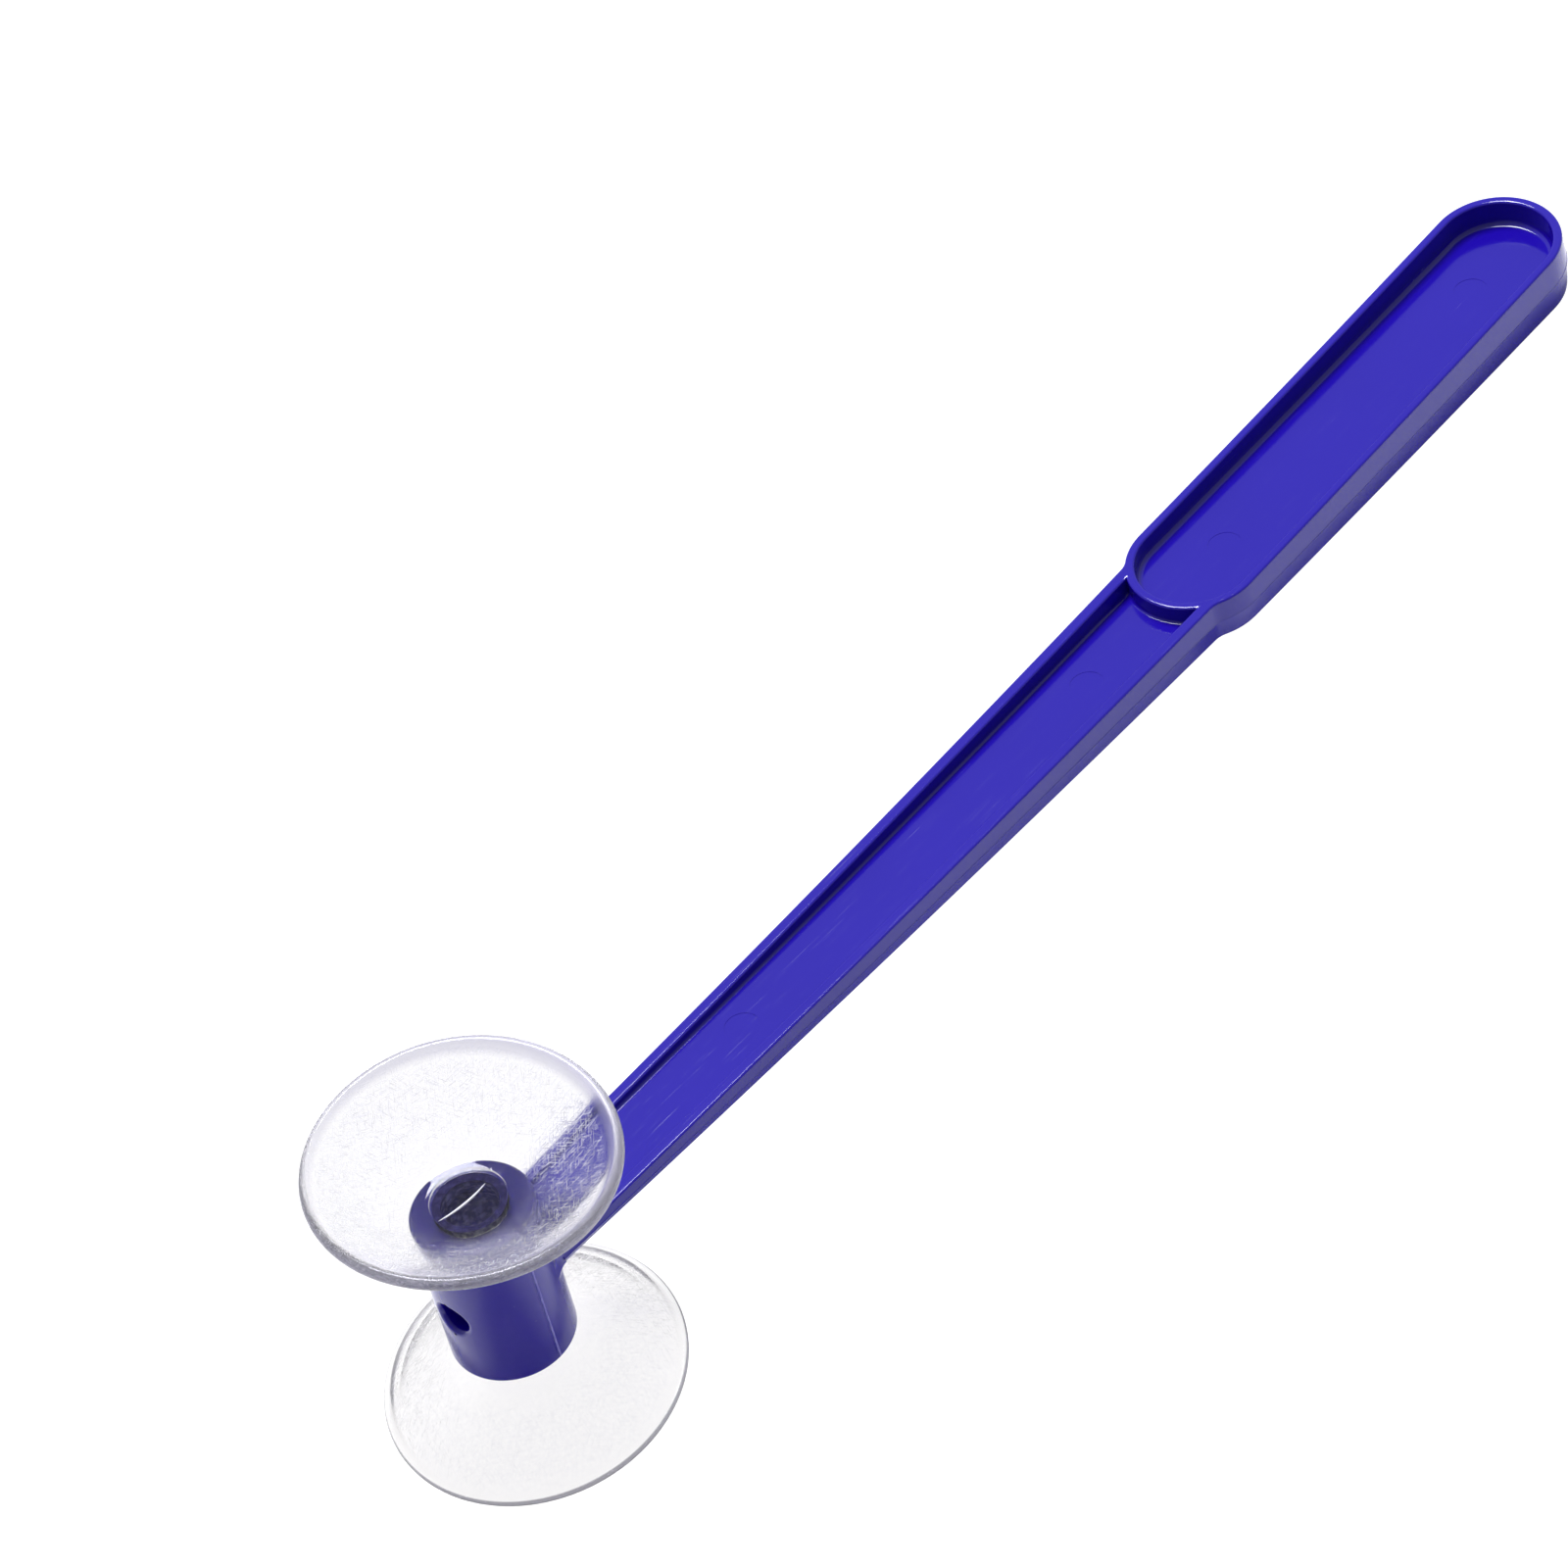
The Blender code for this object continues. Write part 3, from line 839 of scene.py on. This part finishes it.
def clear_pvc(name, clear_code, frost_haze, scratch_haze, rim_band_share, rim_width, rim_code):
    """Clear PVC hazed by frost and scratches, with a painted band of light and shade on the rim's thick edge.
    """
    material, tree = new_material(name)
    place = add_node(tree, "ShaderNodeAttribute", attribute_name=OWN_PLACE).outputs["Vector"]
    radius, within_rim, exposed = reach_of_rubbing(tree, place)
    scratches = add_node(tree, "ShaderNodeMath", {0: scratch_pattern(tree, place), 1: exposed},
                         operation="MULTIPLY")
    frost = add_node(tree, "ShaderNodeTexNoise", {"Vector": place, "Scale": 1 / FROST_WIDTH, "Detail": 4.0})
    frosting = add_node(tree, "ShaderNodeMath", {0: frost.outputs["Fac"], 1: within_rim},
                        operation="MULTIPLY")

    scratch_share = add_node(tree, "ShaderNodeMath", {0: scratches, 1: scratch_haze}, operation="MULTIPLY")
    frost_everywhere = add_node(tree, "ShaderNodeMapRange", {
        "Value": frost.outputs["Fac"], "From Min": 0.35, "From Max": 0.75, "To Max": frost_haze})
    frost_share = add_node(tree, "ShaderNodeMath", {0: frost_everywhere, 1: exposed}, operation="MULTIPLY")
    worn = add_node(tree, "ShaderNodeMath", {0: scratch_share, 1: frost_share}, operation="ADD")

    facing = add_node(tree, "ShaderNodeLayerWeight", {"Blend": 0.5}).outputs["Facing"]
    edge_on = add_node(tree, "ShaderNodeMapRange", {
        "Value": facing, "From Min": 0.60, "From Max": 0.95, "To Max": EDGE_HAZE})
    # The rim's band is painted: grey lavender on a worn cup and a dark line on a new one, for the light that
    # a thick clear rim bends and reflects.
    painted_rim_band = add_node(tree, "ShaderNodeMapRange", {
        "Value": radius, "From Min": CUP_RADIUS - rim_width, "From Max": CUP_RADIUS - rim_width / 2,
        "To Max": rim_band_share})
    deep = add_node(tree, "ShaderNodeMath", {0: edge_on, 1: painted_rim_band}, operation="MAXIMUM")
    haze = add_node(tree, "ShaderNodeMath", {0: worn, 1: deep}, operation="ADD")
    clarity = add_node(tree, "ShaderNodeMath", {0: 1.0, 1: haze}, operation="SUBTRACT")

    deep_share = add_node(tree, "ShaderNodeMapRange", {"Value": deep, "From Max": EDGE_HAZE})
    tint = add_node(tree, "ShaderNodeMix", {
        0: deep_share, 6: linear(clear_code), 7: linear(rim_code)}, data_type="RGBA")
    worn_share = add_node(tree, "ShaderNodeMapRange", {"Value": worn, "From Max": FULLY_WORN})
    whitened = add_node(tree, "ShaderNodeMix", {
        0: worn_share, 6: tint.outputs[2], 7: linear("#E4E4EC")}, data_type="RGBA")
    roughness = add_node(tree, "ShaderNodeMapRange", {
        "Value": haze, "From Max": 0.4, "To Min": 0.05, "To Max": 0.28})
    frosted = add_node(tree, "ShaderNodeBump", {"Height": frosting, "Strength": 0.4, "Distance": 0.006 * MM})
    scratched = add_node(tree, "ShaderNodeBump", {
        "Height": scratches, "Strength": 0.5, "Distance": 0.015 * MM, "Normal": frosted})
    surface = add_node(tree, "ShaderNodeBsdfPrincipled", {
        "Base Color": whitened.outputs[2], "Roughness": roughness, "IOR": 1.50,
        "Specular Tint": linear("#B4B4BE"), "Transmission Weight": clarity, "Normal": scratched})
    add_node(tree, "ShaderNodeOutputMaterial", {"Surface": surface})
    return material


rubbed = clear_pvc("clear_soft_pvc_frosted_by_rubbing", clear_code="#DFDEDF", frost_haze=0.10,
                   scratch_haze=0.28, rim_band_share=0.20, rim_width=CUP_RIM, rim_code="#BBB9D2")
clean = clear_pvc("clear_soft_pvc_nearly_new", clear_code="#ECEBEC", frost_haze=0.03,
                  scratch_haze=0.03, rim_band_share=0.30, rim_width=CUP_RIM / 7, rim_code="#7C7B86")
print("materials", rubbed.name, "and", clean.name)

# %% [markdown]
# ## Two special faces of the PVC
#
# The bulb is squeezed against the barrel's bore, with no air between them. A clear solid then shows the wall
# behind it and not its own surface, so the bulb is painted with that wall's blue, mottled by small pockets of
# air. The face over the bore's mouth is painted dark, as shade, and the bulb below it is painted paler, as
# the light that comes down through the clear stem. A fine bowed ridge crosses the pad's centre, and it is
# painted white, as a thin highlight.

# %% Stem in the bore
AIR_POCKET = 1.1 * MM

stem_painted_shade_and_light, tree = new_material("soft_pvc_on_blue_bore_painted_shade_and_light")
place = add_node(tree, "ShaderNodeAttribute", attribute_name=OWN_PLACE).outputs["Vector"]
pockets = add_node(tree, "ShaderNodeTexNoise", {"Vector": place, "Scale": 1 / AIR_POCKET, "Detail": 3.0})
amount = add_node(tree, "ShaderNodeMapRange", {
    "Value": pockets.outputs["Fac"], "From Min": 0.45, "From Max": 0.65})
# Painted shade and light: darker on the face over the bore's mouth, paler on the bulb deeper in the bore.
depth = add_node(tree, "ShaderNodeMapRange", {
    "Value": add_node(tree, "ShaderNodeSeparateXYZ", {"Vector": place}).outputs["Z"],
    "From Min": END_FACE, "From Max": END_FACE + SKIRT_START, "To Min": 1.0, "To Max": 0.0})
dark = add_node(tree, "ShaderNodeMix", {0: depth, 6: linear("#2A2560"), 7: linear("#5E59A2")},
                data_type="RGBA")
light = add_node(tree, "ShaderNodeMix", {0: depth, 6: linear("#443F80"), 7: linear("#A9A6DE")},
                 data_type="RGBA")
shade_of_wall = add_node(tree, "ShaderNodeMix", {0: amount, 6: dark.outputs[2], 7: light.outputs[2]},
                         data_type="RGBA")
surface = add_node(tree, "ShaderNodeBsdfPrincipled", {
    "Base Color": shade_of_wall.outputs[2], "Roughness": 0.35, "IOR": 1.50, "Specular IOR Level": 0.0})
add_node(tree, "ShaderNodeOutputMaterial", {"Surface": surface})
print("material", stem_painted_shade_and_light.name)

# %% Painted highlight on the pad's ridge
HIGHLIGHT_GRAIN = 0.2 * MM

ridge_painted_highlight, tree = new_material("soft_pvc_ridge_painted_highlight")
place = add_node(tree, "ShaderNodeAttribute", attribute_name=OWN_PLACE).outputs["Vector"]
grain = add_node(tree, "ShaderNodeTexNoise", {"Vector": place, "Scale": 1 / HIGHLIGHT_GRAIN, "Detail": 2.0})
# The ridge is painted white, as a thin highlight.
white = add_node(tree, "ShaderNodeMix", {
    0: grain.outputs["Fac"], 6: linear("#DCDCE8"), 7: linear("#F6F6FC")}, data_type="RGBA")
surface = add_node(tree, "ShaderNodeBsdfPrincipled", {
    "Base Color": white.outputs[2], "Roughness": 0.4, "IOR": 1.50, "Transmission Weight": 0.2})
add_node(tree, "ShaderNodeOutputMaterial", {"Surface": surface})
print("material", ridge_painted_highlight.name)

# %% [markdown]
# ## Turning a cup
#
# A turned piece needs half of its section. This one starts at the middle of the pad, crosses the bowl's
# inside, goes round the rim, comes back under the bowl to the neck and runs down round the bulb. The two
# walls of the bowl are arcs of different circles, and the wall is thinnest just beyond the pad and thickens
# towards the rim.

# %% Profile of a cup
BOWL_STEPS = 32
BOWL_START = math.radians(11)
LIP_STEPS = 10
BULB_STEPS = 20
CUP_STEPS = 144
# Rings across the pad, as shares of its radius.
PAD_RINGS = (0, 0.3, 0.6, 0.85)


def bowl(inner, outer):
    """Points of a bowl's wall: an arc that starts at a gentle slope and climbs to the outer point."""
    chord = outer - inner
    half_sweep = math.atan2(chord.y, chord.x) - BOWL_START
    radius = chord.length / (2 * math.sin(half_sweep))
    slopes = [BOWL_START + 2 * half_sweep * i / BOWL_STEPS for i in range(BOWL_STEPS + 1)]
    return [inner + radius * Vector((math.sin(a) - math.sin(BOWL_START), math.cos(BOWL_START) - math.cos(a)))
            for a in slopes]


def lip():
    """The rim: a half circle from the inner wall over the top to the outer wall."""
    middle = Vector((CUP_RADIUS - CUP_RIM / 2, END_FACE + CUP_HEIGHT - CUP_RIM / 2))
    climb = math.atan2(CUP_HEIGHT - SKIRT_START - CUP_RIM, CUP_RADIUS - NECK_DIAMETER / 2)
    start = 2 * climb - BOWL_START + math.pi / 2
    turn = [start - math.pi * i / LIP_STEPS for i in range(LIP_STEPS + 1)]
    return [middle + Vector((math.cos(a), math.sin(a))) * CUP_RIM / 2 for a in turn]


def cup_profile():
    """From the pad's centre over the bowl, round the rim, back to the neck and down round the bulb."""
    pad = PAD_DIAMETER / 2
    dimple = END_FACE + PAD_TOP - PAD_DIMPLE
    profile = [Vector((pad * share, dimple)) for share in PAD_RINGS]
    profile += [Vector((pad + PAD_DIMPLE * math.sin(a), dimple + PAD_DIMPLE * (1 - math.cos(a))))
                for a in QUARTER]
    rim = lip()
    profile += bowl(Vector((pad + 2 * PAD_DIMPLE, END_FACE + PAD_TOP)), rim[0])
    profile += rim[1:-1]
    profile += reversed(bowl(Vector((NECK_DIAMETER / 2, END_FACE + SKIRT_START)), rim[-1]))
    waist = math.asin(NECK_DIAMETER / 2 / BULB_RADIUS)
    turn = [waist + (math.pi - waist) * i / BULB_STEPS for i in range(BULB_STEPS + 1)]
    profile += [Vector((BULB_RADIUS * math.sin(a), BULB_RADIUS * math.cos(a))) for a in turn]
    return profile


print("a cup's profile has", len(cup_profile()), "points")

# %% The ridge across the pad
MARK_LENGTH = 9.6 * MM
MARK_BOW = 0.6 * MM
MARK_WIDTH = 0.42 * MM
MARK_HEIGHT = 0.20 * MM
MARK_OFFSET = Vector((-1.0, 0.1, 0.0)) * MM
MARK_STEPS = 24
MARK_SIDES = 8
# The ends taper to this share of the full section.
MARK_END = 0.1


def mark_form(turn):
    """A fine bowed ridge across the pad, as a loft of small rings along an arc."""
    form = bmesh.new()
    radius = (MARK_LENGTH ** 2 / 4 + MARK_BOW ** 2) / (2 * MARK_BOW)
    half = math.asin(MARK_LENGTH / 2 / radius)
    base = END_FACE + PAD_TOP - PAD_DIMPLE
    placed = Matrix.Rotation(turn, 3, "Z")
    rings = []
    for i in range(MARK_STEPS + 1):
        a = half * (2 * i / MARK_STEPS - 1)
        taper = max(MARK_END, math.cos(a / half * math.pi / 2) ** 0.5)
        middle = Vector((radius * math.sin(a), MARK_BOW / 2 + radius * (1 - math.cos(a)) - MARK_BOW, base))
        across = Vector((-math.sin(a), math.cos(a), 0)) * MARK_WIDTH / 2 * taper
        up = Vector((0, 0, MARK_HEIGHT * taper))
        turns = [2 * math.pi * k / MARK_SIDES for k in range(MARK_SIDES)]
        ring = [middle + across * math.cos(b) + up * math.sin(b) for b in turns]
        rings.append([form.verts.new(placed @ (point + MARK_OFFSET)) for point in ring])
    skin_rings(form, rings)
    return form


print("the gate's mark is %.1f mm long" % (MARK_LENGTH / MM))

# %% Make both cups
SHARP_EDGE = 60
UPPER_LEAN = Vector((0.064, 0.044, 0))
UPPER_WAVE = 0.4 * MM
# A rotation needs an axis, so a cup that stands straight leans by next to nothing.
STRAIGHT = Vector((0.0001, 0, 0))


def soften(mesh, lean, wave, wave_turn):
    """Leans the bowl about its neck and waves its rim, with nothing moved at the neck itself."""
    neck = Vector((0, 0, END_FACE + SKIRT_START))
    for vertex in mesh.vertices:
        if vertex.co.z < END_FACE:
            continue
        beyond_neck = vertex.co.xy.length - NECK_DIAMETER / 2
        out = min(1, max(0, beyond_neck / (CUP_RADIUS - NECK_DIAMETER / 2)))
        share = out * out * (3 - 2 * out)
        turned = Matrix.Rotation(lean.length * share, 3, lean) @ (vertex.co - neck) + neck
        angle = math.atan2(vertex.co.y, vertex.co.x)
        turned.z += wave * share * math.cos(2 * (angle - wave_turn))
        vertex.co = turned


def make_cup(name, body, cup_frame, nodes, skin, lean, wave, wave_turn, mark_turn):
    """Turns one cup, adds its mark, gives its faces their materials and puts it in place."""
    cup = add_object(name, turned_form(cup_profile(), CUP_STEPS))
    mark = add_object("mark", mark_form(mark_turn))
    for item in (cup, mark):
        for material in (skin, stem_painted_shade_and_light, ridge_painted_highlight):
            item.data.materials.append(material)
    for face in cup.data.polygons:
        over_bore = face.normal.z < 0 and face.center.xy.length < BORE_DIAMETER / 2
        face.material_index = int(over_bore or face.center.z < END_FACE)
    for face in mark.data.polygons:
        face.material_index = 2
    combine(cup, "UNION", mark)
    soften(cup.data, lean, wave, wave_turn)
    settle(cup, cup_frame)
    shade(cup, SHARP_EDGE)
    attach(cup, body)
    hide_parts(*nodes)
    print(name, "has", len(cup.data.polygons), "faces")


make_cup("upper_cup", "upper_cup", upper_cup_frame, ("upper_cup_skirt", "upper_cup_stem"), rubbed,
         lean=UPPER_LEAN, wave=UPPER_WAVE, wave_turn=0.6, mark_turn=-0.12)
make_cup("lower_cup", "lower_cup", lower_cup_frame, ("lower_cup_skirt", "lower_cup_stem"), clean,
         lean=STRAIGHT, wave=0.0, wave_turn=0.0, mark_turn=1.9)

# %% [markdown]
# ## Finish
#
# The visual model has to stay inside the imported model's box, give or take what soft parts may stand proud.

# %% Update the view layer
bpy.context.view_layer.update()
